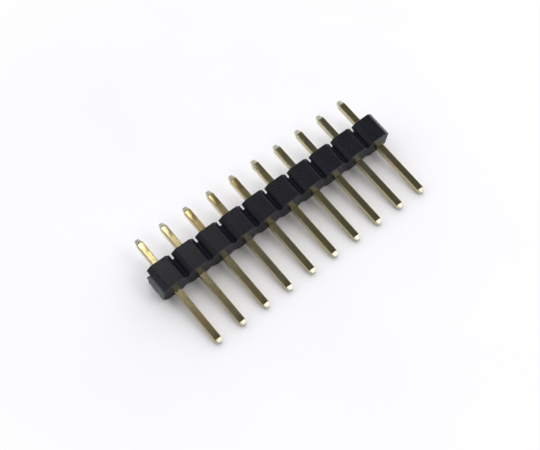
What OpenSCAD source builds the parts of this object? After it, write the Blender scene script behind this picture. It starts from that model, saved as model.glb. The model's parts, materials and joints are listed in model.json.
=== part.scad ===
// Straight single-row pin header, snapped off a longer strip and lying on its side.
// The origin is the middle of the row, where the plane of the pins' axes meets the seating face.
// +X runs along the row and +Z is up. The modules draw the strip level, with the short tails along
// +Y, and at_rest() then leans it on the points of its contacts, which outweigh its tails.

/* [Row] */
// Number of contacts in the row
pin_count = 10; // [2:1:20]
// Distance from one pin's axis to the next
pitch = 2.54; // [2:0.01:3.2]

/* [Insulator] */
// Height of the moulding across the row
body_h = 2.54; // [2:0.01:3.2]
// Depth of the moulding along the pins
body_d = 2.5; // [2:0.01:3.2]
// Width of the snap-off grooves between neighbouring blocks
slot_w = 0.22; // [0.1:0.01:0.3]
// Width of the 45 degree chamfers along each block's long edges
long_chamfer = 0.40; // [0.2:0.01:0.5]
// Straight part of the grooves' sides, between the chamfers and the round bottom
groove_wall = 0.02; // [0.01:0.01:0.3]
// Rounding of the moulding's outer edges
edge_r = 0.06; // [0.02:0.01:0.1]
// How far the necks between the blocks stand back from the seating face
neck_recess = 0.48; // [0.1:0.01:0.8]
// How far the pocket behind each neck cuts into the blocks on both its sides
pocket_w = 0.45; // [0.1:0.01:0.5]

/* [Snapped end] */
// Furthest reach of the broken neck beyond the first block
stub_len = 0.22; // [0.05:0.01:0.3]
// Height of the torn tag at the broken neck's rear corner
burr_h = 0.22; // [0.1:0.01:0.3]
// Reach of that tag past the broken neck
burr_len = 0.07; // [0.02:0.01:0.1]

/* [Pins] */
// Side of the square wire
pin_w = 0.64; // [0.5:0.01:0.8]
// Rounding of the wire's long edges
pin_edge_r = 0.08; // [0.02:0.01:0.15]
// Contact length beyond the insulator's front face
contact_len = 6.0; // [4:0.05:12]
// Tail length beyond the seating face
tail_len = 3.0; // [2:0.05:4]
// Length of the pointed part of the contacts
tip_len = 0.30; // [0.1:0.01:0.5]
// Length of the pointed part of the tails
tail_tip_len = 0.45; // [0.1:0.01:0.6]
// Side of the small flat that is left at each point
tip_w = 0.35; // [0.2:0.01:0.45]
// Space between a pin's flat side and its hole, nought for a pressed-in pin
pin_clearance = 0; // [0:0.005:0.03]

/* [Hidden] */
$fn = 48;
block_w = pitch - slot_w;
neck_h = body_h - 2 * (long_chamfer + groove_wall) - slot_w;
hole_w = pin_w + 2 * pin_clearance;
bite = 0.1; // how far joined shapes reach into each other
// Lean at which the contacts' points and the front edge of the underside touch the ground together
rest_tilt = atan((body_h - pin_w) / 2 / (contact_len - tip_len + edge_r));
// The break's uneven edge, front to rear, as shares of its length and of its reach
BREAK_EDGE = [[0, 0.5], [0.2, 0.8], [0.36, 0.65], [0.58, 0.95], [0.8, 0.75], [1, 1]];

function pin_name(i) = str("pin_", i < 10 ? "0" : "", i);
function pin_x(i) = (i - (pin_count + 1) / 2) * pitch;
function unit(v) = v / norm(v);
function left_of(v) = [-v[1], v[0]];
// The corners of a convex anticlockwise outline, each moved inwards by r from both its edges
function inset(p, r) = [
    for (i = [0:len(p) - 1])
        let (n = len(p), a = unit(p[i] - p[(i + n - 1) % n]), b = unit(p[(i + 1) % n] - p[i]))
            p[i] + (left_of(a) + left_of(b)) * r / (1 + a * b)
];

// A convex anticlockwise outline with every corner rounded to radius r
module rounded(p, r) {
    q = inset(p, r);
    polygon(q);
    for (i = [0:len(q) - 1]) {
        run = q[(i + 1) % len(q)] - q[i];
        translate(q[i]) circle(r);
        translate(q[i]) rotate(atan2(run[1], run[0])) translate([0, -r]) square([norm(run), 2 * r]);
    }
}

// Outline given in X and Z, carried along Y
module along_y(y0, y1) {
    translate([0, y1, 0]) rotate([90, 0, 0]) linear_extrude(y1 - y0) children();
}

// Outline given in Y and Z, carried along X
module along_x(x0, x1) {
    translate([x0, 0, 0]) rotate([90, 0, 90]) linear_extrude(x1 - x0) children();
}

// Outline given in X and Y, carried along Z over a height that is centred on the pins' axes
module along_z(h) {
    translate([0, 0, -h / 2]) linear_extrude(h) children();
}

// The octagon that a block shows when it is seen along its pin
module block_section() {
    x = block_w / 2;
    z = body_h / 2;
    c = long_chamfer;
    rounded([
        [x, c - z], [x, z - c], [x - c, z], [c - x, z],
        [-x, z - c], [-x, c - z], [c - x, -z], [x - c, -z]
    ], edge_r);
}

// A block seen from the end of the row
module block_side() {
    z = body_h / 2;
    rounded([[0, -z], [0, z], [-body_d, z], [-body_d, -z]], edge_r);
}

module block() {
    intersection() {
        along_y(-body_d, 0) block_section();
        along_x(-block_w / 2, block_w / 2) block_side();
    }
}

// The neck that joins a block to the next one, with a round bottom to the grooves above and below it
module neck() {
    along_y(-body_d, -neck_recess) difference() {
        square([slot_w + 2 * bite, neck_h + slot_w], center = true);
        for (side = [-1, 1]) translate([0, side * (neck_h + slot_w) / 2]) circle(slot_w / 2);
    }
}

// The space behind a neck, which leaves a lip on the blocks along each groove
module pocket() {
    along_y(-neck_recess, bite) square([slot_w + 2 * pocket_w, neck_h], center = true);
}

// What is left of the neck where the strip was snapped off, seen from above
module break_plan() {
    run = body_d - neck_recess;
    polygon(concat(
        [[bite, -neck_recess], [bite, -body_d]],
        [for (p = BREAK_EDGE) [-stub_len * p[1], -body_d + run * p[0]]]
    ));
}

module snapped_neck() {
    intersection() {
        translate([-slot_w / 2, 0, 0]) neck();
        along_z(body_h) break_plan();
    }
    translate([0, 0, (neck_h - burr_h) / 2]) along_z(burr_h) polygon([
        [-stub_len / 2, -neck_recess], [-stub_len / 2, -neck_recess - 2 * burr_h],
        [-stub_len - burr_len, -neck_recess - burr_len]
    ]);
}

module insulator_strip() {
    color("#26272b") difference() {
        union() {
            difference() {
                for (i = [1:pin_count]) translate([pin_x(i), 0, 0]) block();
                for (i = [1:pin_count]) translate([pin_x(i) - pitch / 2, 0, 0]) pocket();
            }
            for (i = [1:pin_count - 1]) translate([pin_x(i) + pitch / 2, 0, 0]) neck();
            translate([pin_x(1) - block_w / 2, 0, 0]) snapped_neck();
        }
        for (i = [1:pin_count]) translate([pin_x(i), 0, 0])
            along_y(-body_d - bite, bite) square(hole_w, center = true);
    }
}

// A pin's side outline from tip to tip; v is measured across the wire and y along it
module wire_outline() {
    side = pin_w / 2;
    point = tip_w / 2;
    front = -body_d - contact_len;
    polygon([
        [front, -point], [front + tip_len, -side], [tail_len - tail_tip_len, -side], [tail_len, -point],
        [tail_len, point], [tail_len - tail_tip_len, side], [front + tip_len, side], [front, point]
    ]);
}

module pin() {
    side = pin_w / 2;
    color("#c9b078") intersection() {
        along_y(-body_d - contact_len, tail_len)
            rounded([[side, -side], [side, side], [-side, side], [-side, -side]], pin_edge_r);
        along_x(-side, side) wire_outline();
        along_z(pin_w) rotate(90) wire_outline();
    }
}

module at_rest() {
    rotate([rest_tilt, 0, 0]) children();
}

at_rest() insulator_strip();
for (i = [1:pin_count])
    at_rest() translate([pin_x(i), 0, 0]) pin();
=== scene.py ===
"""A straight pin header row, snapped off a longer strip and lying as it comes to rest.

The operators below make the insulator moulding, the contacts and the stage. Every piece is drawn
level, with the short tails along +Y, and then leaned on its contacts' points as the frame is.
"""

import json
import math

import bmesh
import bpy
from bpy.props import FloatProperty, FloatVectorProperty, IntProperty, PointerProperty
from mathutils import Matrix, Vector, noise


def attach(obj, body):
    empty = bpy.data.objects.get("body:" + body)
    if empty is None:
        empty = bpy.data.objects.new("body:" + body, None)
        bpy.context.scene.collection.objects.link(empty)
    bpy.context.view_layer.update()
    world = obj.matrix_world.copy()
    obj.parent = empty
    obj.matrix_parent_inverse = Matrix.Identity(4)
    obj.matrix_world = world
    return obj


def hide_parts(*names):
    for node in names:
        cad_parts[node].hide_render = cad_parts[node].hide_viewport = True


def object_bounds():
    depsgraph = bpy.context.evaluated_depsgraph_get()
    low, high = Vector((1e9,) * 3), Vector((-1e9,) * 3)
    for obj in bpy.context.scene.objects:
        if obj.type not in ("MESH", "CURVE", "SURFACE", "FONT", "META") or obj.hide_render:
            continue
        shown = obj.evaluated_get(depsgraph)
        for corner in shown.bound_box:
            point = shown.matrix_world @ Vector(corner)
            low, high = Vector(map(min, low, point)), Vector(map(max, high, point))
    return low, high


bl_info = {
    "name": "Pin header row",
    "version": (1, 0, 0),
    "blender": (4, 5, 0),
    "location": "3D View > Sidebar > Pin header",
    "description": "Makes a snapped-off row of square contacts in a black moulded insulator",
    "category": "Add Mesh",
}

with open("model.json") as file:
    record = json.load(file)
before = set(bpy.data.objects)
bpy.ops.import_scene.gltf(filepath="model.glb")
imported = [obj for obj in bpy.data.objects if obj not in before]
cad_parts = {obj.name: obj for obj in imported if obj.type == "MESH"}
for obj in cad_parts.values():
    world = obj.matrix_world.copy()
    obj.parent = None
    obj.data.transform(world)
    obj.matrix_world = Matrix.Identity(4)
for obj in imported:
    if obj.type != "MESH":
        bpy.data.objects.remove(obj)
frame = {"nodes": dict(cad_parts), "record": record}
cad_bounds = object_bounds()

MM = 0.001
SHARP_EDGE = math.radians(38)       # the even shading leaves edges that turn more than this
SHOULDER_EDGE = math.radians(13)    # a shoulder turns more than this, a rounded edge's facets less
SAME_PLACE = 1e-9
CONTACTS = sorted(name for name in frame["nodes"] if name.startswith("pin_"))
SEAT_AXIS = next(m["axis"] for m in frame["record"]["mounts"] if m["name"] == "board_seat")
LEAN = math.atan2(SEAT_AXIS[2], SEAT_AXIS[1])


def level_box(node):
    """Lowest and highest corner of a CAD node with its lean taken out."""
    points = [Matrix.Rotation(-LEAN, 3, "X") @ v.co for v in frame["nodes"][node].data.vertices]
    return (Vector(map(min, zip(*points))), Vector(map(max, zip(*points))))


MOULDING_LOW, MOULDING_HIGH = level_box("insulator_strip")
WIRE_LOW, WIRE_HIGH = level_box(CONTACTS[0])
LAST_LOW = level_box(CONTACTS[-1])[0]


# Sizes and colours


def length(name, description, default):
    return FloatProperty(name=name, description=description, default=default, min=0, precision=5,
                         unit="LENGTH", subtype="DISTANCE")


def colour(name, description, default):
    return FloatVectorProperty(name=name, description=description, default=default, size=3,
                               min=0, max=1, subtype="COLOR")


def share(name, description, default):
    return FloatProperty(name=name, description=description, default=default, min=0, max=1,
                         subtype="FACTOR")


class RowSettings(bpy.types.PropertyGroup):
    """The row that the moulding and the contacts share"""

    count: IntProperty(name="Contacts", description="Number of contacts in the row",
                       default=len(CONTACTS), min=2, max=20)
    pitch: length("Pitch", "Distance from one contact's axis to the next",
                  (LAST_LOW.x - WIRE_LOW.x) / (len(CONTACTS) - 1))
    wire: length("Wire side", "Side of the contacts' square wire", WIRE_HIGH.x - WIRE_LOW.x)


class MouldingSettings(bpy.types.PropertyGroup):
    """The insulator's blocks, necks and finish"""

    height: length("Height", "Height of the blocks across the row",
                   MOULDING_HIGH.z - MOULDING_LOW.z)
    depth: length("Depth", "Depth of the blocks along the contacts",
                  MOULDING_HIGH.y - MOULDING_LOW.y)
    slot: length("Groove width", "Width of the grooves between neighbouring blocks", 0.22 * MM)
    chamfer: length("Chamfer", "Width of the chamfers on a block's long edges", 0.40 * MM)
    wall: length("Groove wall", "Straight part of the grooves' sides under the chamfers", 0.02 * MM)
    rounding: length("Rounding", "Rounding of the blocks' edges", 0.06 * MM)
    rim: length("Hole rim", "Rounding of the contact holes' rims", 0.025 * MM)
    recess: length("Neck recess", "How far the necks stand back from the seating face", 0.48 * MM)
    pocket: length("Pocket side", "How far the pocket behind a neck cuts into each block",
                   0.45 * MM)
    stub: length("Broken neck", "Furthest reach of the snapped neck", 0.22 * MM)
    tag_height: length("Torn tag height", "Height of the torn tag on the snapped neck", 0.22 * MM)
    tag_reach: length("Torn tag reach", "Reach of that tag past the snapped neck", 0.07 * MM)
    plastic: colour("Plastic", "Colour of the moulded skin", (0.0041, 0.0048, 0.0100))
    broken: colour("Broken plastic", "Colour of the stressed plastic where the strip was snapped",
                   (0.085, 0.088, 0.092))
    gloss: share("Roughness", "Roughness of the moulded skin", 0.31)


class ContactSettings(bpy.types.PropertyGroup):
    """The contacts' points, edges and plating"""

    rounding: length("Edge rounding", "Rounding of the wire's long edges", 0.08 * MM)
    point_length: length("Point length", "Length of the contacts' pointed part", 0.30 * MM)
    tail_point: length("Tail point length", "Length of the tails' pointed part", 0.45 * MM)
    point_side: length("Point side", "Side of the flat that is left at each point", 0.35 * MM)
    shoulder: length("Shoulder rounding", "Rounding where a point begins and ends", 0.015 * MM)
    spread: share("Spread", "How much the points differ from one contact to the next", 0.3)
    plating: colour("Plating", "Colour of the thin gold flash", (0.57, 0.54, 0.36))
    warm: colour("Warm plating", "Colour where the flash is thicker", (0.65, 0.49, 0.22))
    sheared: colour("Sheared points", "Colour of the metal on the points", (0.62, 0.61, 0.50))
    gloss: share("Roughness", "Roughness of the drawn wire", 0.18)


class StageSettings(bpy.types.PropertyGroup):
    """The floor, the lamps and the camera"""

    floor: colour("Floor", "Colour of the floor near the object", (0.95, 0.945, 0.97))
    floor_size: length("Floor size", "Width of the floor", 1.2)
    key: FloatProperty(name="Key lamp", description="Power of the big soft lamp, front right",
                       default=0.105, min=0, unit="POWER")
    top: FloatProperty(name="Overhead lamp", default=0.036, min=0, unit="POWER",
                       description="Power of the small lamp overhead, towards the tails")
    fill: share("Fill", "Light from all round", 0.885)
    slant: share("Slant", "How much more of that light comes from the tails' side", 0.95)
    ceiling: share("Ceiling", "How bright the ceiling looks in shiny surfaces", 0.08)
    azimuth: FloatProperty(name="Azimuth", description="Direction of the camera round the object",
                           default=math.radians(-38.118), subtype="ANGLE")
    elevation: FloatProperty(name="Elevation", description="Height of the camera over the horizon",
                             default=math.radians(58.097), subtype="ANGLE")
    roll: FloatProperty(name="Roll", description="Turn of the camera about its own axis",
                        default=math.radians(-1.891), subtype="ANGLE")
    distance: length("Distance", "Distance from the camera to where it aims", 97.525 * MM)
    aim: FloatVectorProperty(name="Aim", description="Point that the camera looks at",
                             default=(-1.4094 * MM, -2.7310 * MM, -0.4395 * MM), size=3,
                             precision=5, subtype="TRANSLATION")
    lens: FloatProperty(name="Lens", description="Focal length in millimetres", default=75.2, min=1)


class HeaderSettings(bpy.types.PropertyGroup):
    """Everything that a user would change on the pin header"""

    row: PointerProperty(type=RowSettings)
    moulding: PointerProperty(type=MouldingSettings)
    contact: PointerProperty(type=ContactSettings)
    stage: PointerProperty(type=StageSettings)


# Node trees


class Value:
    """A socket in an expression: each operator adds the Math node that it stands for."""

    def __init__(self, nodes, socket):
        self.nodes = nodes
        self.socket = socket

    def maths(self, operation, *terms):
        return self.nodes.add("ShaderNodeMath", {"operation": operation}, dict(enumerate(terms)))

    def __add__(self, other):
        return self.maths("ADD", self, other)

    def __radd__(self, other):
        return self.maths("ADD", other, self)

    def __sub__(self, other):
        return self.maths("SUBTRACT", self, other)

    def __rsub__(self, other):
        return self.maths("SUBTRACT", other, self)

    def __mul__(self, other):
        return self.maths("MULTIPLY", self, other)

    def __rmul__(self, other):
        return self.maths("MULTIPLY", other, self)

    def __truediv__(self, other):
        return self.maths("DIVIDE", self, other)

    def __rtruediv__(self, other):
        return self.maths("DIVIDE", other, self)

    def __abs__(self):
        return self.maths("ABSOLUTE", self)

    def floor(self):
        return self.maths("FLOOR", self)

    def fraction(self):
        return self.maths("FRACT", self)

    def largest(self, other):
        return self.maths("MAXIMUM", self, other)

    def smallest(self, other):
        return self.maths("MINIMUM", self, other)

    def clamped(self):
        return self.nodes.add("ShaderNodeClamp", {}, {"Value": self})

    def ramp(self, start, end):
        """0 before start and 1 after end, easing in between; start may be the larger one."""
        return self.nodes.add("ShaderNodeMapRange", {"interpolation_type": "SMOOTHSTEP"},
                              {"Value": self, "From Min": start, "From Max": end})


class Nodes:
    """Adds nodes to one tree."""

    def __init__(self, tree):
        self.tree = tree
        tree.nodes.clear()

    def add(self, kind, settings, sockets, out=0):
        """Adds a node, then sets or links each socket, and returns one output or several."""
        node = self.tree.nodes.new(kind)
        for name, value in settings.items():
            setattr(node, name, value)
        for key, given in sockets.items():
            socket = self.find(node.inputs, key)
            for value in given if isinstance(given, list) else [given]:
                if isinstance(value, Value):
                    self.tree.links.new(value.socket, socket)
                else:
                    socket.default_value = value
        if isinstance(out, tuple):
            return [Value(self, self.find(node.outputs, key)) for key in out]
        return Value(self, self.find(node.outputs, out)) if len(node.outputs) else node

    @staticmethod
    def find(sockets, key):
        """A socket by its number, its identifier, or its name among the ones in use."""
        if isinstance(key, int):
            return sockets[key]
        exact = [s for s in sockets if s.identifier == key]
        return (exact or [s for s in sockets if s.enabled and s.name == key])[0]

    def vector(self, x, y, z):
        return self.add("ShaderNodeCombineXYZ", {}, {"X": x, "Y": y, "Z": z})

    def split(self, vector):
        return self.add("ShaderNodeSeparateXYZ", {}, {"Vector": vector}, ("X", "Y", "Z"))

    def seen_by(self):
        """Whether a ray comes from the camera, and whether from a shiny or clear surface."""
        camera, glossy, clear = self.add("ShaderNodeLightPath", {}, {}, (
            "Is Camera Ray", "Is Glossy Ray", "Is Transmission Ray"))
        return camera, (glossy + clear).clamped()

    def blend(self, share_of_second, first, second):
        """A mix of two colours; each may be a link or three numbers."""
        ends = {key: value if isinstance(value, Value) else (*value, 1)
                for key, value in (("A_Color", first), ("B_Color", second))}
        return self.add("ShaderNodeMix", {"data_type": "RGBA"},
                        {"Factor_Float": share_of_second, **ends}, "Result_Color")


class Finish(Nodes):
    """A material whose patterns are laid out in level millimetres."""

    def __init__(self, name):
        self.material = bpy.data.materials.new(name)
        self.material.use_nodes = True
        super().__init__(self.material.node_tree)

    def level_place(self):
        """Place on the object in millimetres, with its lean taken out, as X, Y and Z."""
        place = self.add("ShaderNodeTexCoord", {}, {}, "Object")
        return self.split(self.add("ShaderNodeMapping", {}, {
            "Vector": place, "Rotation": (-LEAN, 0, 0), "Scale": (1 / MM,) * 3}))

    def grain(self, x, y, z, detail=2.0, roughness=0.5):
        """Soft noise from 0 to 1 over a place that is already scaled."""
        return self.add("ShaderNodeTexNoise", {}, {
            "Vector": self.vector(x, y, z), "Scale": 1.0, "Detail": detail, "Roughness": roughness})

    def specks(self, x, y, z):
        """Distance to the nearest of many scattered points, over a place that is already scaled."""
        return self.add("ShaderNodeTexVoronoi", {}, {"Vector": self.vector(x, y, z), "Scale": 1.0},
                        "Distance")

    def relief(self, height, depth):
        """A bump whose height of 1 stands that many millimetres proud."""
        return self.add("ShaderNodeBump", {}, {"Height": height, "Distance": depth * MM}, "Normal")

    def surface(self, **sockets):
        """Ends the tree in one Principled shader."""
        named = {key.replace("_", " ").title().replace("Ior", "IOR"): value
                 for key, value in sockets.items()}
        shader = self.add("ShaderNodeBsdfPrincipled", {}, named)
        self.add("ShaderNodeOutputMaterial", {}, {"Surface": shader})
        return self.material


class ShapeTree(Nodes):
    """A Geometry Nodes tree with named inputs, run on a host object."""

    def __init__(self, name, inputs):
        tree = bpy.data.node_groups.new(name, "GeometryNodeTree")
        super().__init__(tree)
        face = tree.interface
        face.new_socket(name="Geometry", in_out="INPUT", socket_type="NodeSocketGeometry")
        for key, value in inputs.items():
            face.new_socket(name=key, in_out="INPUT", socket_type=self.socket_type(value))
        face.new_socket(name="Geometry", in_out="OUTPUT", socket_type="NodeSocketGeometry")
        source = tree.nodes.new("NodeGroupInput")
        self.inputs = {s.name: Value(self, s) for s in source.outputs if s.name}
        self.values = inputs

    @staticmethod
    def socket_type(value):
        kinds = {int: "Int", float: "Float", bpy.types.Object: "Object",
                 bpy.types.Material: "Material"}
        return "NodeSocket" + next(name for kind, name in kinds.items() if isinstance(value, kind))

    def __getitem__(self, name):
        return self.inputs[name]

    def row_of(self, shape, count, start, step):
        """Copies of a shape along X."""
        line = self.add("GeometryNodeMeshLine", {"mode": "OFFSET", "count_mode": "TOTAL"}, {
            "Count": count, "Start Location": self.vector(start, 0.0, 0.0),
            "Offset": self.vector(step, 0.0, 0.0)})
        placed = self.add("GeometryNodeInstanceOnPoints", {}, {"Points": line, "Instance": shape})
        return self.add("GeometryNodeRealizeInstances", {}, {"Geometry": placed})

    def boolean(self, operation, others, first=None):
        """The exact sum or shared part of several meshes, or a first mesh less the others."""
        sockets = {"Mesh 2": others} if first is None else {"Mesh 1": first, "Mesh 2": others}
        return self.add("GeometryNodeMeshBoolean", {"operation": operation, "solver": "EXACT"},
                        sockets, "Mesh")

    def moved(self, shape, x=0.0, y=0.0, z=0.0, turn=(0, 0, 0)):
        return self.add("GeometryNodeTransform", {}, {
            "Geometry": shape, "Translation": self.vector(x, y, z), "Rotation": turn})

    def finish(self, shape, material):
        """Ends the tree with its instances made real and its material set."""
        real = self.add("GeometryNodeRealizeInstances", {}, {"Geometry": shape})
        smooth = self.add("GeometryNodeSetShadeSmooth", {}, {"Geometry": real})
        painted = self.add("GeometryNodeSetMaterial", {}, {
            "Geometry": smooth, "Material": material})
        self.add("NodeGroupOutput", {}, {"Geometry": painted})

    def run(self, host, **changed):
        """Evaluates the tree on a host object and returns what it makes as a plain mesh."""
        values = {**self.values, **{key.replace("_", " "): value for key, value in changed.items()}}
        modifier = host.modifiers.new(self.tree.name, "NODES")
        modifier.node_group = self.tree
        for item in self.tree.interface.items_tree:
            if item.in_out == "INPUT" and item.name in values:
                modifier[item.identifier] = values[item.name]
        graph = bpy.context.evaluated_depsgraph_get()
        mesh = bpy.data.meshes.new_from_object(host.evaluated_get(graph), depsgraph=graph)
        host.modifiers.remove(modifier)
        if not mesh.polygons:
            raise RuntimeError(f"{self.tree.name} made no faces")
        return mesh


# Meshes


def new_object(name, mesh):
    made = bpy.data.objects.new(name, mesh)
    bpy.context.scene.collection.objects.link(made)
    return made


def mesh_from(name, bm):
    mesh = bpy.data.meshes.new(name)
    bmesh.ops.recalc_face_normals(bm, faces=bm.faces)
    bm.to_mesh(mesh)
    bm.free()
    return mesh


def finish_piece(piece, nodes):
    """Leans a piece as the frame is, evens its shading and ties it to the frame."""
    piece.data.name = piece.name
    piece.data.transform(Matrix.Rotation(LEAN, 4, "X"))
    piece.data.set_sharp_from_angle(angle=SHARP_EDGE)
    piece.modifiers.new("Even shading", "WEIGHTED_NORMAL").keep_sharp = True
    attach(piece, "root")
    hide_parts(*nodes)


def block_mesh(row, moulding):
    """One block round the origin, with its chamfers, contact hole and rounded edges."""
    x, z = (row.pitch - moulding.slot) / 2, moulding.height / 2
    c, hole = moulding.chamfer, row.wire / 2

    def octagon(y):
        points = [(x, c - z), (x, z - c), (x - c, z), (c - x, z),
                  (-x, z - c), (-x, c - z), (c - x, -z), (x - c, -z)]
        return [bm.verts.new((px, y, pz)) for px, pz in points]

    def square(y):
        return [bm.verts.new((sx * hole, y, sz * hole))
                for sx, sz in ((1, -1), (1, 1), (-1, 1), (-1, -1))]

    bm = bmesh.new()
    rings = [octagon(-moulding.depth), octagon(0)]
    mouths = [square(-moulding.depth), square(0)]
    for near, far in (rings, mouths):
        for i in range(len(near)):
            bm.faces.new((near[i - 1], near[i], far[i], far[i - 1]))
    for ring, mouth in zip(rings, mouths):
        for i in range(4):
            bm.faces.new((ring[2 * i], ring[2 * i + 1], mouth[(i + 1) % 4], mouth[i]))
            bm.faces.new((ring[2 * i - 1], ring[2 * i], mouth[i]))
    bmesh.ops.recalc_face_normals(bm, faces=bm.faces)
    square_turn, slight_turn = 1, 0.1
    rims = [e for e in bm.edges if all(abs(v.co.x) <= hole * 1.01 for v in e.verts)
            and abs(e.verts[0].co.y - e.verts[1].co.y) < SAME_PLACE
            and e.calc_face_angle(0) > square_turn]
    outer = [e for e in bm.edges if e not in rims and e.calc_face_angle(0) > slight_turn
             and max(abs(v.co.x) + abs(v.co.z) for v in e.verts) > 2.5 * hole]
    bmesh.ops.bevel(bm, geom=rims, offset=moulding.rim, segments=2, profile=0.5,
                    affect="EDGES")
    outer = [e for e in outer if e.is_valid]
    bmesh.ops.bevel(bm, geom=outer, offset=moulding.rounding, segments=4, profile=0.5,
                    affect="EDGES")
    return mesh_from("block", bm)


def neck_height(moulding):
    """Height of a neck at its middle, between the round bottoms of two grooves."""
    return moulding.height - 2 * (moulding.chamfer + moulding.wall) - moulding.slot


def snapped_wall(row, moulding):
    """X of the first block's outer wall, which the snapped neck stands on."""
    return -(row.count / 2) * row.pitch + moulding.slot / 2


def broken_neck_mesh(row, moulding):
    """A form with the broken face on its left, which cuts a neck down to its stub.

    It reaches past the neck on every other side, so that no two faces of theirs share a plane,
    and its faces are triangles, so that each is flat.
    """
    wall = snapped_wall(row, moulding)
    past = 0.05 * MM
    rear, front = past - moulding.recess, -moulding.depth - past
    half = (neck_height(moulding) + moulding.slot) / 2 + past
    inside = wall + 0.15 * MM
    across, up = 46, 22
    least, most = 0.12, 0.97
    reach = ((0, 0.5), (0.2, 0.8), (0.36, 0.65), (0.58, 0.95), (0.8, 0.75), (1, 1))

    def depth_at(s, t):
        """How far the broken face stands out, at shares s front to rear and t bottom to top."""
        k = max(i for i in range(len(reach) - 1) if s >= reach[i][0])
        (s0, r0), (s1, r1) = reach[k], reach[k + 1]
        edge = r0 + (r1 - r0) * (s - s0) / (s1 - s0)
        hackle = noise.fractal(Vector((s * 9, t * 5, 3.7)), 0.9, 2.1, 5)
        lip = 0.22 * math.exp(-min(t, 1 - t) * 14)
        return moulding.stub * min(most, max(least, 0.84 * edge + 0.22 * hackle - lip))

    bm = bmesh.new()
    grid = [[bm.verts.new((wall - depth_at(i / across, j / up),
                           front + (rear - front) * i / across,
                           -half + 2 * half * j / up)) for j in range(up + 1)]
            for i in range(across + 1)]
    for i in range(across):
        for j in range(up):
            bm.faces.new((grid[i][j], grid[i + 1][j], grid[i + 1][j + 1], grid[i][j + 1]))
    border = [e for e in bm.edges if e.is_boundary]
    walls = bmesh.ops.extrude_edge_only(bm, edges=border)["geom"]
    for vert in (v for v in walls if isinstance(v, bmesh.types.BMVert)):
        vert.co.x = inside
    bmesh.ops.holes_fill(bm, edges=[e for e in bm.edges if e.is_boundary])
    bmesh.ops.triangulate(bm, faces=bm.faces[:])
    return mesh_from("broken neck", bm)


def torn_tag_mesh(row, moulding):
    """The thin tag that tore out at the broken neck's upper rear corner."""
    wall = snapped_wall(row, moulding)
    tall, tip = moulding.tag_height, moulding.stub + moulding.tag_reach
    root, rear, top = moulding.stub / 2, -moulding.recess, neck_height(moulding) / 2
    bm = bmesh.new()
    layers = []
    steps = 4
    for k in range(steps + 1):
        s = k / steps
        curl = 1 - 0.55 * (1 - s) ** 2
        layers.append([bm.verts.new(p) for p in (
            (wall - root, rear - 0.02 * MM, top - tall * (1 - s)),
            (wall - root, rear - 2 * tall * (0.7 + 0.3 * s), top - tall * (1 - s)),
            (wall - tip * curl, rear - moulding.tag_reach - 0.05 * MM * (1 - s),
             top - tall * (1 - s) * 0.9))])
    for low, high in zip(layers, layers[1:]):
        for i in range(3):
            bm.faces.new((low[i], low[(i + 1) % 3], high[(i + 1) % 3], high[i]))
    bm.faces.new(layers[0])
    bm.faces.new(layers[-1])
    return mesh_from("torn tag", bm)


def moulding_tree(row, moulding, material, stub, tag):
    """The row of blocks and the necks between them, joined into one closed skin.

    The exact sums stay closed only where surfaces cross or stand apart. So the necks bite into
    the blocks, end a hair short of the blocks' faces, and their round grooves are turned until
    no corner touches a block's wall.
    """
    sides = 32
    tree = ShapeTree("Insulator moulding", {
        "Blocks": row.count, "Pitch": row.pitch, "Slot": moulding.slot, "Depth": moulding.depth,
        "Neck height": neck_height(moulding), "Neck recess": moulding.recess,
        "Bite": 0.1 * MM, "Hair": 0.002 * MM, "Pocket side": moulding.pocket,
        "Broken neck": stub, "Torn tag": tag, "Plastic": material})
    first = (1 - tree["Blocks"]) / 2 * tree["Pitch"]
    snapped = first - tree["Pitch"] / 2
    blocks = tree.row_of(tree["Geometry"], tree["Blocks"], first, tree["Pitch"])
    pocket = tree.add("GeometryNodeMeshCube", {}, {"Size": tree.vector(
        tree["Slot"] + 2 * tree["Pocket side"], 2 * tree["Neck recess"],
        tree["Neck height"])}, "Mesh")
    pockets = tree.row_of(pocket, tree["Blocks"], snapped, tree["Pitch"])
    blocks = tree.boolean("DIFFERENCE", [pockets], blocks)
    run = tree["Depth"] - tree["Neck recess"]
    bar = tree.add("GeometryNodeMeshCube", {}, {"Size": tree.vector(
        tree["Slot"] + 2 * tree["Bite"], run - 2 * tree["Hair"],
        tree["Neck height"] + tree["Slot"])}, "Mesh")
    groove = tree.add("GeometryNodeMeshCylinder", {}, {
        "Vertices": sides, "Radius": tree["Slot"] / 2, "Depth": run * 2}, "Mesh")
    lift = (tree["Neck height"] + tree["Slot"]) / 2
    grooves = [tree.moved(groove, z=side * lift, turn=(math.pi / 2, math.pi / sides, 0))
               for side in (-1, 1)]
    neck = tree.moved(tree.boolean("DIFFERENCE", grooves, bar),
                      y=0 - (tree["Depth"] + tree["Neck recess"]) / 2)
    necks = tree.row_of(neck, tree["Blocks"] - 1, first + tree["Pitch"] / 2, tree["Pitch"])
    break_form, tag_form = (
        tree.add("GeometryNodeObjectInfo", {}, {"Object": tree[key]}, "Geometry")
        for key in ("Broken neck", "Torn tag"))
    stump = tree.boolean("INTERSECT", [tree.moved(neck, x=snapped), break_form])
    tree.finish(tree.boolean("UNION", [blocks, necks, stump, tag_form]), tree["Plastic"])
    return tree


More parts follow.
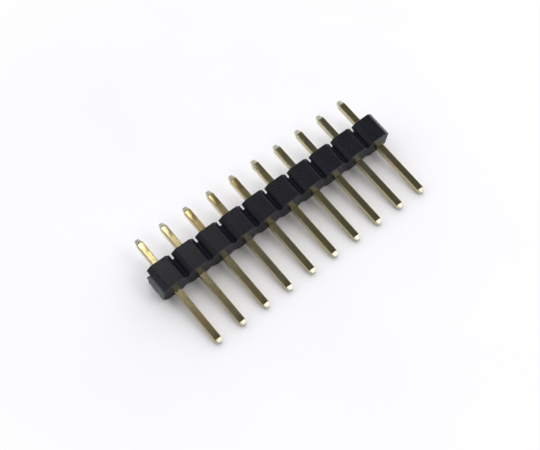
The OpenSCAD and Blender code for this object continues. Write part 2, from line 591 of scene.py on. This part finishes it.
def contact_tree(row, contact, material):
    """A square wire with rounded edges, pointed at both ends.

    Four stations serve each end: its tip, its shoulder, and two along the full wire.
    """
    stations, corner_facets = 8, 10
    longer, slimmer = 0.35, 0.1
    tree = ShapeTree("Square contact", {
        "Row place": 0.0, "Wire side": row.wire, "Edge rounding": contact.rounding,
        "Front end": WIRE_LOW.y, "Tail end": WIRE_HIGH.y,
        "Point length": contact.point_length, "Tail point length": contact.tail_point,
        "Point side": contact.point_side, "Spread": contact.spread, "Seed": 0,
        "Plating": material})

    def varied(which):
        """A number from 0 to 1 that differs from contact to contact."""
        return tree.add("FunctionNodeRandomValue", {"data_type": "FLOAT"},
                        {"ID": which, "Seed": tree["Seed"]}, "Value_001")

    index = tree.add("GeometryNodeInputIndex", {}, {})
    from_end = index.smallest(stations - 1 - index)
    is_tail = index.maths("GREATER_THAN", index, (stations - 1) / 2)
    point = tree["Point length"] * (1 - is_tail) + tree["Tail point length"] * is_tail
    point = point * (1 + tree["Spread"] * longer * varied(is_tail + 1))
    middle = from_end.maths("GREATER_THAN", from_end, 0.5)
    inner = from_end.maths("GREATER_THAN", from_end, 1.5)
    inset = point * middle + inner * tree["Wire side"] * (from_end - 1)
    y = (tree["Front end"] + inset) * (1 - is_tail) + (tree["Tail end"] - inset) * is_tail
    line = tree.add("GeometryNodeMeshLine", {"mode": "OFFSET", "count_mode": "TOTAL"},
                    {"Count": stations, "Offset": (0.0, 1.0 * MM, 0.0)})
    placed = tree.add("GeometryNodeSetPosition", {}, {
        "Geometry": line, "Position": tree.vector(tree["Row place"], y, 0.0)})
    path = tree.add("GeometryNodeMeshToCurve", {}, {"Mesh": placed})
    slim = tree["Point side"] / tree["Wire side"] * (
        1 - slimmer * tree["Spread"] * varied(is_tail + 5))
    width = slim + (1 - slim) * middle
    path = tree.add("GeometryNodeSetCurveNormal", {"mode": "Z_UP"}, {"Curve": path})
    outline = tree.add("GeometryNodeCurvePrimitiveQuadrilateral", {"mode": "RECTANGLE"},
                       {"Width": tree["Wire side"], "Height": tree["Wire side"]})
    outline = tree.add("GeometryNodeFilletCurve", {"mode": "POLY"}, {
        "Curve": outline, "Count": corner_facets, "Radius": tree["Edge rounding"]})
    wire = tree.add("GeometryNodeCurveToMesh", {}, {
        "Curve": path, "Profile Curve": outline, "Scale": width, "Fill Caps": True})
    tree.finish(wire, tree["Plating"])
    return tree


# Finishes


def moulded_plastic(row, moulding):
    """Black glass-filled plastic: satin skin, flow, fibres, rims lightened by wear and painted
    highlight, a rough break.
    """
    m = Finish("Black moulded plastic")
    x, y, z = m.level_place()
    pitch, depth, chamfer = row.pitch / MM, moulding.depth / MM, moulding.chamfer / MM
    half, high = (row.pitch - moulding.slot) / 2 / MM, moulding.height / 2 / MM
    wall = snapped_wall(row, moulding) / MM
    rim_width, diagonal = 0.075, 0.7071
    u = abs(((x / pitch + row.count / 2).fraction() - 0.5) * pitch)
    v = abs(z)

    def near(distance):
        return (1 - abs(distance) / rim_width).clamped()

    rims = (near(half - u) + near(high - v) + near(y) + near(y + depth)
            + near((half + high - chamfer - u - v) * diagonal) - 1).clamped()
    flow = m.grain(x * 1.1, y * 0.8, z * 1.1, 3)
    mottle = m.grain(x * 7, y * 7, z * 7, 3, 0.6)
    tooth = m.grain(x * 32, y * 32, z * 32, 2)
    fibres = (m.specks(x * 9, y * 30, z * 9).ramp(0.16, 0.04)
              * m.grain(x * 2, y * 2, z * 2).ramp(0.45, 0.7))
    scuffs = (m.grain(x * 22 + y * 9, y * 1.6 - x * 3, z * 14, 2).ramp(0.63, 0.74)
              * mottle.ramp(0.35, 0.6))
    snapped = x.ramp(wall - 0.004, wall - 0.03)
    # Lighter skin along every block edge, mottled: partly wear, partly a painted edge highlight.
    worn_and_highlit = rims * mottle.ramp(0.38, 0.68)
    skin = m.blend(mottle.ramp(0.35, 0.65), moulding.plastic, [c * 1.5 for c in moulding.plastic])
    skin = m.blend(worn_and_highlit * 0.5, skin, [c * 3.2 for c in moulding.plastic])
    skin = m.blend((fibres * 0.5 + scuffs * 0.4).clamped(), skin,
                   [c * 3.6 for c in moulding.plastic])
    stress = m.grain(x * 10, y * 10, z * 10, 4, 0.7).ramp(0.25, 0.75)
    torn = m.blend(stress, [c * 0.75 for c in moulding.broken], [c * 1.6 for c in moulding.broken])
    height = mottle * 0.5 + tooth * 0.3 + flow * 1.5 + snapped * stress * 5 - scuffs * 0.6
    rough = (moulding.gloss + (mottle - 0.5) * 0.3 + (flow - 0.5) * 0.1 + worn_and_highlit * 0.1
             + scuffs * 0.12) * (1 - snapped)
    ends = (y.ramp(-0.02, -0.004) + (y + depth).ramp(0.02, 0.004)).clamped() * (1 - snapped)
    return m.surface(base_color=m.blend(snapped, skin, torn),
                     roughness=rough + ends * 0.20 + snapped * 0.72, ior=1.47,
                     normal=m.relief(height, 0.0018))


def flashed_wire(row, contact):
    """Drawn square wire with a thin gold flash: streaks, uneven tone, dull sheared points."""
    m = Finish("Gold flashed wire")
    x, y, z = m.level_place()
    pitch = row.pitch / MM
    place = x / pitch + row.count / 2
    u = (place.fraction() - 0.5) * pitch
    number = place.floor()
    own = m.add("ShaderNodeTexWhiteNoise", {"noise_dimensions": "1D"}, {"W": number + 0.5}, "Value")
    front, tail = WIRE_LOW.y / MM, WIRE_HIGH.y / MM
    point, tail_point = contact.point_length / MM, contact.tail_point / MM
    shift = number * 7.3
    streaks = m.grain(u * 30 + shift, y * 0.6, z * 30, 3, 0.65)
    pits = m.grain(u * 11 + shift, y * 5, z * 11, 3, 0.7)
    clouds = m.grain(u * 1.2 + shift, y * 0.55, z * 1.2, 3)
    points = (y.ramp(front + point * 1.15, front + point * 0.7)
              + y.ramp(tail - tail_point * 1.1, tail - tail_point * 0.8)).clamped()
    # Warmer tone: random clouds and streaks, plus a fixed warmer patch on the second to fifth
    # contacts that fades in from just before the moulding and runs back over the tails.
    warmth = (clouds.ramp(0.35, 0.75) * 0.5 + own * 0.2 + streaks.ramp(0.5, 0.8) * 0.2
             + number.ramp(5, 3.2) * number.ramp(0.2, 2) * y.ramp(-3, -1) * 0.5).clamped()
    tone = m.blend(warmth, contact.plating, contact.warm)
    tone = m.blend((pits.ramp(0.48, 0.72) * 0.35 + streaks.ramp(0.52, 0.32) * 0.4).clamped(), tone,
                   [c * 0.5 for c in contact.plating])
    tone = m.blend(points * 0.85, tone, contact.sheared)
    rough = contact.gloss + (streaks - 0.5) * 0.05 + (pits - 0.5) * 0.05 + points * 0.10
    height = streaks * 0.9 + pits * 0.7 + points * pits * 1.5
    return m.surface(base_color=tone, metallic=1.0, roughness=rough.clamped(),
                     normal=m.relief(height, 0.0006))


def pale_floor(stage):
    """A pale matt floor that keeps the object's shadow and fades to white away from it."""
    m = Finish("Pale floor")
    fade_from, fade_to = 16, 42
    x, y, _ = m.level_place()
    away = m.add("ShaderNodeVectorMath", {"operation": "LENGTH"}, {0: m.vector(x, y, 0.0)},
                 "Value")
    camera, mirrored = m.seen_by()
    shown = (camera + mirrored).clamped()
    paper = m.grain(x * 0.06, y * 0.06, 0.0, 2).ramp(0.3, 0.7)
    matt = m.add("ShaderNodeBsdfPrincipled", {}, {
        "Base Color": m.blend(paper, stage.floor, [min(1, c * 1.02) for c in stage.floor]),
        "Roughness": 0.85, "Specular IOR Level": 0.2})
    white = m.add("ShaderNodeEmission", {}, {"Color": (1, 1, 1, 1), "Strength": 1.0})
    both = m.add("ShaderNodeMixShader", {}, {
        0: away.ramp(fade_from, fade_to) * shown, 1: matt, 2: white})
    m.add("ShaderNodeOutputMaterial", {}, {"Surface": both})
    return m.material


# Operators


class PINHEADER_OT_insulator(bpy.types.Operator):
    """Make the insulator moulding with its snapped end"""

    bl_idname = "pinheader.insulator"
    bl_label = "Insulator moulding"

    def execute(self, context):
        settings = context.scene.pin_header
        row, moulding = settings.row, settings.moulding
        if moulding.slot + 2 * moulding.pocket >= row.pitch - row.wire:
            raise RuntimeError("the pockets leave no wall round the contacts")
        piece = new_object("insulator_moulding", block_mesh(row, moulding))
        stub = new_object("broken_neck_form", broken_neck_mesh(row, moulding))
        tag = new_object("torn_tag_form", torn_tag_mesh(row, moulding))
        tree = moulding_tree(row, moulding, moulded_plastic(row, moulding), stub, tag)
        piece.data = tree.run(piece)
        for form in (stub, tag):
            bpy.data.objects.remove(form)
        finish_piece(piece, ["insulator_strip"])
        return {"FINISHED"}


class PINHEADER_OT_contacts(bpy.types.Operator):
    """Make the square contacts, one piece each"""

    bl_idname = "pinheader.contacts"
    bl_label = "Contacts"

    def execute(self, context):
        settings = context.scene.pin_header
        row, contact = settings.row, settings.contact
        if row.count != len(CONTACTS):
            raise RuntimeError(f"the frame has {len(CONTACTS)} contacts, not {row.count}")
        tree = contact_tree(row, contact, flashed_wire(row, contact))
        for number, node in enumerate(CONTACTS):
            piece = new_object(node.replace("pin_", "contact_"), bpy.data.meshes.new(node))
            place = (number - (row.count - 1) / 2) * row.pitch
            piece.data = tree.run(piece, Row_place=place, Seed=number)
            edges = piece.modifiers.new("Shoulders", "BEVEL")
            edges.width = contact.shoulder
            edges.segments = 3
            edges.limit_method = "ANGLE"
            edges.angle_limit = SHOULDER_EDGE
            finish_piece(piece, [node])
        return {"FINISHED"}


class PINHEADER_OT_stage(bpy.types.Operator):
    """Make the floor, the lamps, the surroundings and the camera"""

    bl_idname = "pinheader.stage"
    bl_label = "Stage"

    def execute(self, context):
        stage = context.scene.pin_header.stage
        self.lay_floor(stage)
        self.hang_lamp("key_lamp", stage.key, direction=(0.34, -0.54, 0.77), distance=0.26,
                       size=(0.12, 0.11), tint=(1.0, 0.985, 0.97))
        self.hang_lamp("top_lamp", stage.top, direction=(0.16, 0.25, 0.955), distance=0.30,
                       size=(0.044, 0.044), tint=(1.0, 0.97, 0.88))
        self.light_surroundings(context.scene, stage)
        self.aim_camera(context.scene, stage)
        context.scene.view_settings.view_transform = "Standard"
        return {"FINISHED"}

    def lay_floor(self, stage):
        bm = bmesh.new()
        bmesh.ops.create_circle(bm, cap_ends=True, segments=96, radius=stage.floor_size / 2)
        bmesh.ops.translate(bm, verts=bm.verts, vec=(0, 0, cad_bounds[0].z))
        mesh = bpy.data.meshes.new("floor")
        bm.to_mesh(mesh)
        bm.free()
        mesh.materials.append(pale_floor(stage))
        new_object("floor", mesh)

    def hang_lamp(self, name, power, direction, distance, size, tint):
        """A rectangular lamp that faces the object from a direction."""
        lamp = bpy.data.lights.new(name, "AREA")
        lamp.shape = "RECTANGLE"
        lamp.size, lamp.size_y = size
        lamp.energy = power
        lamp.color = tint
        hung = new_object(name, lamp)
        hung.location = Vector(direction).normalized() * distance
        hung.rotation_euler = Vector(direction).to_track_quat("Z", "Y").to_euler()

    def light_surroundings(self, scene, stage):
        """Slanted fill light, white behind the object, and pale walls under a dim ceiling.

        Only shiny surfaces see the walls and the ceiling. The walls fade out between 37 and 57
        degrees over the horizon, and are dimmer past the snapped end.
        """
        world = bpy.data.worlds.new("surroundings")
        world.use_nodes = True
        scene.world = world
        w = Nodes(world.node_tree)
        across, along, up = w.split(w.add("ShaderNodeTexCoord", {}, {}, "Generated"))
        camera, mirrored = w.seen_by()
        wall = up.ramp(0.84, 0.60)
        room = wall * (0.5 + 0.45 * across.ramp(-0.7, 0.2)) + (1 - wall) * stage.ceiling
        fill = stage.fill * (1 + stage.slant * (across * 0.35 + along * 1.15)).largest(0)
        level = camera + (1 - camera) * (mirrored * room + (1 - mirrored) * fill)
        w.add("ShaderNodeOutputWorld", {}, {"Surface": w.add("ShaderNodeBackground", {}, {
            "Color": (0.985, 0.985, 1.0, 1), "Strength": level})})

    def aim_camera(self, scene, stage):
        a, e = stage.azimuth, stage.elevation
        back = Vector((math.sin(a) * math.cos(e), -math.cos(a) * math.cos(e), math.sin(e)))
        right = Vector((math.cos(a), math.sin(a), 0))
        level = Matrix((right, back.cross(right), back)).transposed()
        turn = level @ Matrix.Rotation(stage.roll, 3, "Z")
        camera = bpy.data.cameras.new("camera")
        camera.lens = stage.lens
        camera.sensor_width = 36
        camera.clip_start = 0.001
        placed = new_object("camera", camera)
        place = Vector(stage.aim) + back * stage.distance
        placed.matrix_world = Matrix.LocRotScale(place, turn, None)
        scene.camera = placed


class PINHEADER_PT_panel(bpy.types.Panel):
    """Lists the pin header's pieces and sizes"""

    bl_idname = "PINHEADER_PT_panel"
    bl_label = "Pin header"
    bl_space_type = "VIEW_3D"
    bl_region_type = "UI"
    bl_category = "Pin header"

    def draw(self, context):
        settings = context.scene.pin_header
        for operator, group in ((None, settings.row),
                                ("pinheader.insulator", settings.moulding),
                                ("pinheader.contacts", settings.contact),
                                ("pinheader.stage", settings.stage)):
            box = self.layout.box()
            if operator:
                box.operator(operator)
            for name in group.__annotations__:
                box.prop(group, name)


CLASSES = (RowSettings, MouldingSettings, ContactSettings, StageSettings, HeaderSettings,
           PINHEADER_OT_insulator, PINHEADER_OT_contacts, PINHEADER_OT_stage, PINHEADER_PT_panel)


def register():
    for each in CLASSES:
        bpy.utils.register_class(each)
    bpy.types.Scene.pin_header = PointerProperty(type=HeaderSettings)


def unregister():
    del bpy.types.Scene.pin_header
    for each in reversed(CLASSES):
        bpy.utils.unregister_class(each)


def main():
    register()
    bpy.ops.pinheader.insulator()
    bpy.ops.pinheader.contacts()
    bpy.ops.pinheader.stage()


if __name__ == "__main__":
    main()
